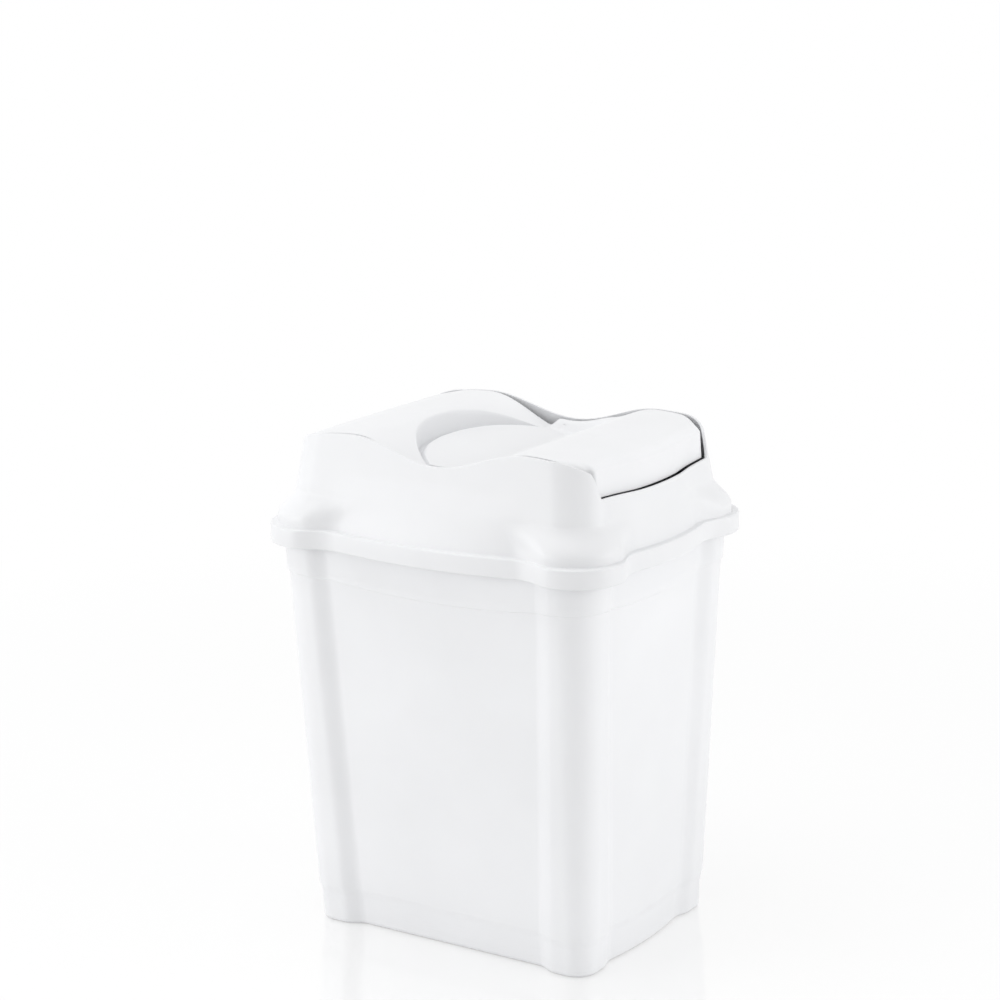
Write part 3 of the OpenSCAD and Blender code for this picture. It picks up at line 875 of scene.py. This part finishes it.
class FlapForm(Form):
    """The flap's surfaces."""

    def __init__(self, scene):
        super().__init__(scene)
        h, f = self.hood, self.flap
        self.row_y0 = self.edge_half(self.half_width, h.side_lean, 0, 1)
        self.end_x = self.edge_half(self.half_length, h.end_lean, 0, 1) + h.top_corner - self.inset
        self.bulge_half = self.wall_half(self.half_width, h.side_lean, self.end_z)
        self.recess_middle = h.saddle_x - f.recess_reach + f.recess_radius

    def edge_half(self, foot, lean, turn, sign):
        """Half length or width of the opening, less the corner, at a turn round the corner."""
        return self.wall_half(foot, lean, self.corner_top(sign, turn)) - self.hood.top_corner

    def end_bulge(self, y):
        """How far the end's bow brings a row's end out."""
        h = self.hood
        inner = self.bulge_half - h.lobe
        return ease((inner - abs(y)) / h.lobe_run) * h.end_bow * (1 - (y / inner) ** 2)

    def rows(self):
        """The flap's rows: the place of each across the flap, its half length and its ends' fall."""
        h = self.hood
        reach = h.top_corner - self.inset
        corner = []
        for turn in np.radians(CORNER_TURNS):
            y = self.edge_half(self.half_width, h.side_lean, turn, 1) + reach * sin(turn)
            left, right = (self.edge_half(self.half_length, h.end_lean, turn, sign) for sign in (-1, 1))
            fall = min(self.flap.bend_fall, self.rim_wave(self.corner_x) - self.corner_top(1, turn))
            corner.append((y, min(left, right) + reach * cos(turn), fall))
        middle = np.linspace(-self.row_y0, self.row_y0, MIDDLE_ROWS + 1)
        rows = [(-y, half, fall) for y, half, fall in reversed(corner)]
        rows += [(y, self.end_x + self.end_bulge(y), self.flap.bend_fall) for y in middle]
        return rows + corner

    def surface(self, x):
        """Height of the flap's wave."""
        return self.wave(x, self.flap_saddle_z, self.flap_crest_z)

    def ear(self, x, y):
        """Rise of the surface beside the pins, up to just below the rim."""
        f = self.flap
        left = ease((x - f.ear_left + f.ear_fade_left) / f.ear_fade_left)
        right = ease((f.ear_right + f.ear_fade_right - x) / f.ear_fade_right)
        out = ease((abs(y) - self.cheek_y + f.ear_run + EDGE) / f.ear_run)
        return (self.rim_wave(x) - f.ear_gap - self.surface(x)) * left * right * out

    def recess_edge(self, y):
        """Where the recess begins on a row, at least a sliver left of the saddle line."""
        f, h = self.flap, self.hood
        reach = np.sqrt(max(f.recess_radius ** 2 - y * y, 0))
        return min(self.recess_middle - reach, h.saddle_x - RECESS_MIN)

    def tongue(self, x):
        """Height of the tongue: a crest beside the pocket, steeper towards the saddle line."""
        f, h = self.flap, self.hood
        part = clamp((h.saddle_x - x) / (f.recess_reach - f.pocket_width))
        return self.flap_saddle_z + f.tongue_rise * (1 - (1 - part) ** TONGUE_POWER)

    def recess(self, y):
        """The recess across a row, as places, heights and the shares of the skin behind its wall."""
        f, h = self.flap, self.hood
        edge = self.recess_edge(y)
        part = (h.saddle_x - edge) / f.recess_reach
        foot, crest_x = edge + f.wall_run * part, edge + f.pocket_width * part
        crest = self.tongue(crest_x)
        low = crest - f.pocket_depth * part
        brink = np.array((edge, self.surface(edge)))
        bottom = np.array((foot, low))
        before = edge - RECESS_FILLET * part
        start_x = mix(foot, crest_x, POCKET_START)
        upper = curve_round((before, self.surface(before)), brink, mix(brink, bottom, BRINK_SHARE))
        lower = curve_round(mix(brink, bottom, FOOT_SHARE), bottom, (start_x, low))
        k = np.linspace(POCKET_START, 1, POCKET_POINTS)[1:]
        rise = ease((k - POCKET_FLAT) / (1 - POCKET_FLAT))
        pocket = np.stack([mix(foot, crest_x, k), mix(low, crest, rise)], axis=1)
        x = np.linspace(crest_x, h.saddle_x, TONGUE_POINTS)[1:]
        deep = np.concatenate([upper, lower, pocket, np.stack([x, self.tongue(x)], axis=1)])
        back = 1 - 2 * clamp((deep[:, 0] - foot) / (crest_x - foot))
        fade = ease((h.saddle_x - edge - RECESS_MIN) / RECESS_FADE)
        heights = mix(self.surface(deep[:, 0]), deep[:, 1], fade)
        return deep[:, 0], heights, clamp(back)

    def lip_bottom(self, y):
        """Height of the end lips' lower edge on a row."""
        return self.end_top(clamp(abs(y) / self.row_y0)) + self.flap.lip_gap

    def row(self, y, half, fall, drop):
        """One row of the flap's top, as places, heights and shares of the skin behind the recess wall."""
        f, h = self.flap, self.hood
        top_end = half - f.lip_lean
        inner = top_end - f.bend_length
        turns = np.linspace(0, pi / 2, BEND_POINTS + 1)
        bend_x = top_end - f.bend_length * (1 - np.cos(turns))
        bend = fall * (1 - np.sqrt(1 - np.cos(turns) ** 2))
        recess_x, recess_z, back = self.recess(y)
        left = np.linspace(-inner, recess_x[0], LEFT_POINTS)[1:-1]
        right = np.linspace(h.saddle_x, inner, RIGHT_POINTS)[1:-1]
        x = np.concatenate([[-half], -bend_x, left, recess_x, right, bend_x[::-1], [half]])
        z = self.surface(x) + self.ear(x, y)
        first = 1 + bend_x.size
        start = first + left.size
        stop = start + recess_x.size
        z[1:first] -= bend
        z[-first:-1] -= bend[::-1]
        z[start:stop] += recess_z - self.surface(recess_x)
        z -= drop
        z[0] = z[-1] = self.lip_bottom(y)
        push = np.zeros_like(x)
        push[start:stop] = back
        push[first:start] = clamp(1 - (recess_x[0] - left) / (PUSH_SKINS * f.skin))
        push *= clamp((h.saddle_x - recess_x[0]) / WALL_FADE)
        return x, z, push

    def under_row(self, y, half, fall):
        """The underside of a row: the skin below its top, behind its lips and behind the recess wall."""
        skin = self.flap.skin
        x, z, push = self.row(y, half, fall, 0)
        steps = np.arange(x.size)
        turn = pi / 2 * clamp((np.minimum(steps, steps[::-1]) - 1) / BEND_POINTS)
        out = np.where(steps < x.size / 2, 1, -1)
        return x + skin * (out * np.cos(turn) - push), z - skin * np.sin(turn)

    def edge_drop(self, y):
        """How far the rounded long edge lies below the surface on a row."""
        part = clamp((abs(y) - self.edge_y + FLAP_EDGE) / FLAP_EDGE)
        return FLAP_EDGE * (1 - sqrt(1 - part * part))

    def sheets(self):
        """Grids of points of the flap's outside and of its underside, cheeks included."""
        f = self.flap
        rows = self.rows()
        self.edge_y = rows[-1][0]
        side_x, side_z, _ = self.row(*rows[-1], self.edge_drop(self.edge_y))
        reach = clamp(abs(side_x) / (rows[-1][1] + EDGE))
        cheek_z = self.lip_bottom(self.cheek_y) - EDGE - f.cheek_depth * np.sqrt(1 - reach * reach)
        squeeze = (self.cheek_y - f.cheek_wall) / self.cheek_y
        outer, under = [], []
        for y, half, fall in rows:
            x, z, _ = self.row(y, half, fall, self.edge_drop(y))
            outer.append(across(x, y, z))
            x, z = self.under_row(y * squeeze, half, fall)
            under.append(across(x, y * squeeze, z))
        under_x = under[-1][:, 0]
        top_z = side_z - CHEEK_SUPPORT
        under_z = under[-1][:, 2] - CHEEK_SUPPORT
        inner_y = self.edge_y * squeeze
        cheek_grid = [across(side_x, self.edge_y, z) for z in (top_z, cheek_z)]
        inner_grid = [across(under_x, inner_y, z) for z in (under_z, cheek_z)]
        return both_sides(outer, cheek_grid), both_sides(under, inner_grid)

    def pin_hole(self, side, material):
        """A rod as wide as a pin's hole, through one cheek."""
        f = self.flap
        reach = f.cheek_wall / 2 + 2 * EDGE
        middle = side * (self.cheek_y - f.cheek_wall / 2)
        radius = f.pin / 2 + f.pin_clearance
        profile = [(middle - reach, radius), (middle + reach, radius)]
        return rod("pin_hole", f.pivot_x, self.pivot_z, profile, material)


def across(x, y, z):
    """Points of a row across the flap."""
    return np.stack([x, np.full_like(x, y), z], axis=1)


def both_sides(rows, side):
    """A grid of rows, with the rows of its far side also put mirrored before it."""
    before = [row * (1, -1, 1) for row in reversed(side)]
    return np.array(before + rows + side)


class SWINGBIN_OT_swing_flap(bpy.types.Operator):
    """Makes the flap: waved top, finger recess with its tongue, end lips, ears and cheeks"""
    bl_idname = "swingbin.swing_flap"
    bl_label = "Swing Flap"

    def execute(self, context):
        form = FlapForm(context.scene)
        finish = context.scene.plastic_finish
        material = plastic("flap_plastic", finish.flap_white, finish, scuffed=0.0)
        points, faces = closed_sheet(*form.sheets())
        piece = new_piece("swing_flap_moulding", points, faces, material)
        for side in (-1, 1):
            join_solid(piece, form.pin_hole(side, material), "DIFFERENCE")
        finish_piece(piece, "swing_flap", "flap")
        return {"FINISHED"}


# ---- Moulded plastic ----

PLASTIC_IOR = 1.49
PLASTIC_SPECULAR = 0.35
MOTTLE_SCALE = 14.0
MOTTLE_LOW = 0.3
MOTTLE_HIGH = 0.7
WAVE_SCALE = 22.0
WAVE_DEPTH = 0.05 * MM
GRAIN_DEPTH = 0.012 * MM
MOTTLE_SHADE = 0.965
ROUGH_SPREAD = 0.10
SCRATCH_SCALE = 90.0
SCRATCH_STRETCH = 0.06
SCUFF_HEIGHT = 30 * MM
RUB_START = 0.62
RUB_GAIN = 12
RUB_SHADE = 0.02
RUB_ROUGHNESS = 0.06


def noise(tree, place, scale, detail):
    """Noise at a scale, with a number of finer layers."""
    return tree.add("ShaderNodeTexNoise", {}, {"Vector": place, "Scale": scale, "Detail": detail})


def plastic(name, white, finish, scuffed):
    """Satin moulded plastic: faint flow mottling, mould grain, soft sink waves and fine rub marks."""
    material = bpy.data.materials.new(name)
    material.use_nodes = True
    material.diffuse_color = (*white, 1.0)
    shader = material.node_tree.nodes["Principled BSDF"]
    tree = Tree(material.node_tree)
    place = tree.add("ShaderNodeTexCoord", {}, {}, output="Object")
    mottle = noise(tree, place, MOTTLE_SCALE, 3.0)
    shade = mix(MOTTLE_SHADE, 1.0, clamp((mottle - MOTTLE_LOW) / (MOTTLE_HIGH - MOTTLE_LOW)))
    stretched = tree.add(
        "ShaderNodeMapping", {}, {"Vector": place, "Scale": (SCRATCH_STRETCH, SCRATCH_STRETCH, 1.0)}
    )
    rub = noise(tree, stretched, SCRATCH_SCALE / SCRATCH_STRETCH, 2.0)
    marks = clamp((rub - RUB_START) * RUB_GAIN)
    height = tree.add("ShaderNodeSeparateXYZ", {}, {"Vector": place}, output="Z")
    low = scuffed * (1 - ease(height / SCUFF_HEIGHT))
    shade = shade * (1 - RUB_SHADE * low * marks)
    tinted = tree.add(
        "ShaderNodeMix", {"data_type": "RGBA", "blend_type": "MULTIPLY"},
        {"Factor": 1.0, "A": (*white, 1.0), "B": tree.add(
            "ShaderNodeCombineColor", {}, {"Red": shade, "Green": shade, "Blue": shade}
        )}, output="Result",
    )
    tree.link(tinted, shader, "Base Color")
    rough = finish.roughness + ROUGH_SPREAD * (mottle - 0.5) + RUB_ROUGHNESS * marks
    tree.link(rough, shader, "Roughness")
    grain = noise(tree, place, 1 / finish.grain, 2.0)
    sink = noise(tree, place, WAVE_SCALE, 1.0)
    relief = sink * WAVE_DEPTH + grain * GRAIN_DEPTH
    bump = tree.add("ShaderNodeBump", {}, {"Height": relief, "Distance": 1.0, "Strength": 1.0})
    tree.link(bump, shader, "Normal")
    shader.inputs["IOR"].default_value = PLASTIC_IOR
    shader.inputs["Specular IOR Level"].default_value = PLASTIC_SPECULAR
    return material


# ---- Studio ----

FLOOR_HALF = 20.0
FLOOR_DEPTH = 0.15 * MM
FLOOR_WHITE = (0.92, 0.92, 0.92, 1.0)
SHADOW_NEAR = 0.25
SHADOW_FAR = 0.9
SHADOW_SHARE = 0.3
MIRROR_SHARE = 0.36
MIRROR_ROUGHNESS = 0.06
FRAME_WIDTH = 36.0
SOFTBOX_DISTANCE = 1.4


def seen_white(tree):
    """1 for rays that see the white background: the camera's, and those off gloss and through glass."""
    path = tree.tree.nodes.new("ShaderNodeLightPath")
    seen = Term(tree, path.outputs["Is Camera Ray"])
    for name in ("Is Glossy Ray", "Is Transmission Ray"):
        seen = seen.maths("MAXIMUM", seen, Term(tree, path.outputs[name]))
    return seen


def floor_material():
    """White floor that keeps the object's shadow and a faint mirror image close to it."""
    material = bpy.data.materials.new("studio_floor")
    material.use_nodes = True
    nodes = material.node_tree.nodes
    nodes.clear()
    tree = Tree(material.node_tree)
    place = tree.add("ShaderNodeTexCoord", {}, {}, output="Object")
    away = tree.add("ShaderNodeVectorMath", {"operation": "LENGTH"}, {0: place}, output="Value")
    near = 1 - ease((away - SHADOW_NEAR) / (SHADOW_FAR - SHADOW_NEAR))
    matt = tree.add("ShaderNodeBsdfDiffuse", {}, {"Color": FLOOR_WHITE})
    mirror = tree.add(
        "ShaderNodeBsdfGlossy", {}, {"Color": (1, 1, 1, 1), "Roughness": MIRROR_ROUGHNESS}
    )
    white = tree.add("ShaderNodeEmission", {}, {"Strength": 1.0})
    seen = seen_white(tree)
    lit = tree.add("ShaderNodeMixShader", {}, {0: near * SHADOW_SHARE, 1: white, 2: matt})
    lit = tree.add("ShaderNodeMixShader", {}, {0: near * MIRROR_SHARE, 1: lit, 2: mirror})
    both = tree.add("ShaderNodeMixShader", {}, {0: seen, 1: matt, 2: lit})
    out = nodes.new("ShaderNodeOutputMaterial")
    material.node_tree.links.new(both.socket, out.inputs["Surface"])
    return material


def add_floor():
    """The pale floor under the object."""
    ways = ((-1, -1), (1, -1), (1, 1), (-1, 1))
    corners = [(x * FLOOR_HALF, y * FLOOR_HALF, -FLOOR_DEPTH) for x, y in ways]
    floor = new_piece("studio_floor", corners, [(0, 1, 2, 3)], floor_material())


def light_room(scene, studio):
    """A pale room all round that shows as plain white behind the object."""
    world = bpy.data.worlds.new("pale_room")
    world.use_nodes = True
    world.node_tree.nodes.clear()
    tree = Tree(world.node_tree)
    seen = seen_white(tree)
    strength = mix(studio.room_light, 1.0, seen)
    glow = tree.add("ShaderNodeBackground", {}, {"Color": (1, 1, 1, 1), "Strength": strength})
    out = world.node_tree.nodes.new("ShaderNodeOutputWorld")
    world.node_tree.links.new(glow.socket, out.inputs["Surface"])
    scene.world = world


class Softbox(NamedTuple):
    """A square softbox: where it stands, in degrees round and above the object, and its side in metres."""
    name: str
    azimuth: float
    elevation: float
    side: float


SOFTBOXES = (
    Softbox("left_softbox", -42, 8, 0.9),
    Softbox("right_softbox", 106, 8, 0.9),
    Softbox("top_softbox", -60, 76, 1.0),
)


def add_softbox(box, studio):
    """A softbox that looks at the middle of the object, with the power that the studio gives it."""
    lamp = bpy.data.lights.new(box.name, "AREA")
    lamp.shape = "SQUARE"
    lamp.size = box.side
    lamp.energy = getattr(studio, box.name)
    softbox = bpy.data.objects.new(box.name, lamp)
    turn, tilt = radians(box.azimuth), radians(box.elevation)
    back = Vector((sin(turn) * cos(tilt), -cos(turn) * cos(tilt), sin(tilt)))
    middle = (CAD_BOX[0] + CAD_BOX[1]) / 2
    softbox.location = middle + back * SOFTBOX_DISTANCE
    softbox.rotation_euler = back.to_track_quat("Z", "Y").to_euler()
    bpy.context.scene.collection.objects.link(softbox)


def add_camera(scene, studio):
    """The camera at the photograph's viewing angle."""
    yaw, pitch, roll = studio.yaw, studio.pitch, studio.roll
    ahead = Vector((-sin(yaw) * cos(pitch), cos(yaw) * cos(pitch), -sin(pitch)))
    right = Vector((cos(yaw), sin(yaw), 0))
    up = right.cross(ahead)
    right, up = right * cos(roll) + up * sin(roll), up * cos(roll) - right * sin(roll)
    camera = bpy.data.cameras.new("photo_camera")
    camera.sensor_width = FRAME_WIDTH
    camera.lens = studio.lens
    holder = bpy.data.objects.new("photo_camera", camera)
    turn = Matrix((right, up, -ahead)).transposed().to_4x4()
    holder.matrix_world = Matrix.Translation((studio.camera_x, studio.camera_y, studio.camera_z)) @ turn
    scene.collection.objects.link(holder)
    scene.camera = holder


class SWINGBIN_OT_studio(bpy.types.Operator):
    """Makes the pale floor, the room's light, the softboxes and the camera"""
    bl_idname = "swingbin.studio"
    bl_label = "Studio"

    def execute(self, context):
        scene = context.scene
        studio = scene.studio_sizes
        scene.view_settings.view_transform = "Standard"
        add_camera(scene, studio)
        add_floor()
        light_room(scene, studio)
        for box in SOFTBOXES:
            add_softbox(box, studio)
        return {"FINISHED"}


# ---- Panel and registration ----

class SWINGBIN_PT_sidebar(bpy.types.Panel):
    """Lists the pieces and the sizes of the bin"""
    bl_idname = "SWINGBIN_PT_sidebar"
    bl_label = "Swing-Lid Bin"
    bl_space_type = "VIEW_3D"
    bl_region_type = "UI"
    bl_category = "Swing Bin"

    def draw(self, context):
        for operator in OPERATORS:
            self.layout.operator(operator.bl_idname)
        for name in GROUPS:
            box = self.layout.box()
            box.label(text=name.replace("_", " ").capitalize())
            group = getattr(context.scene, name)
            for key in group.bl_rna.properties.keys():
                if key not in ("rna_type", "name"):
                    box.prop(group, key)


GROUPS = {
    "bin_sizes": BinSizes,
    "hood_sizes": HoodSizes,
    "flap_sizes": FlapSizes,
    "plastic_finish": PlasticFinish,
    "studio_sizes": StudioSizes,
}
OPERATORS = (SWINGBIN_OT_studio, SWINGBIN_OT_bin_body, SWINGBIN_OT_hood, SWINGBIN_OT_swing_flap)


def register():
    """Registers the sizes, the operators and the panel."""
    for name, group in GROUPS.items():
        bpy.utils.register_class(group)
        setattr(bpy.types.Scene, name, bpy.props.PointerProperty(type=group))
    for operator in OPERATORS:
        bpy.utils.register_class(operator)
    bpy.utils.register_class(SWINGBIN_PT_sidebar)


def unregister():
    """Takes the panel, the operators and the sizes away again."""
    bpy.utils.unregister_class(SWINGBIN_PT_sidebar)
    for operator in reversed(OPERATORS):
        bpy.utils.unregister_class(operator)
    for name, group in reversed(GROUPS.items()):
        delattr(bpy.types.Scene, name)
        bpy.utils.unregister_class(group)


def main():
    """Builds the whole scene."""
    register()
    bpy.ops.swingbin.studio()
    bpy.ops.swingbin.bin_body()
    bpy.ops.swingbin.hood()
    bpy.ops.swingbin.swing_flap()


if __name__ == "__main__":
    main()
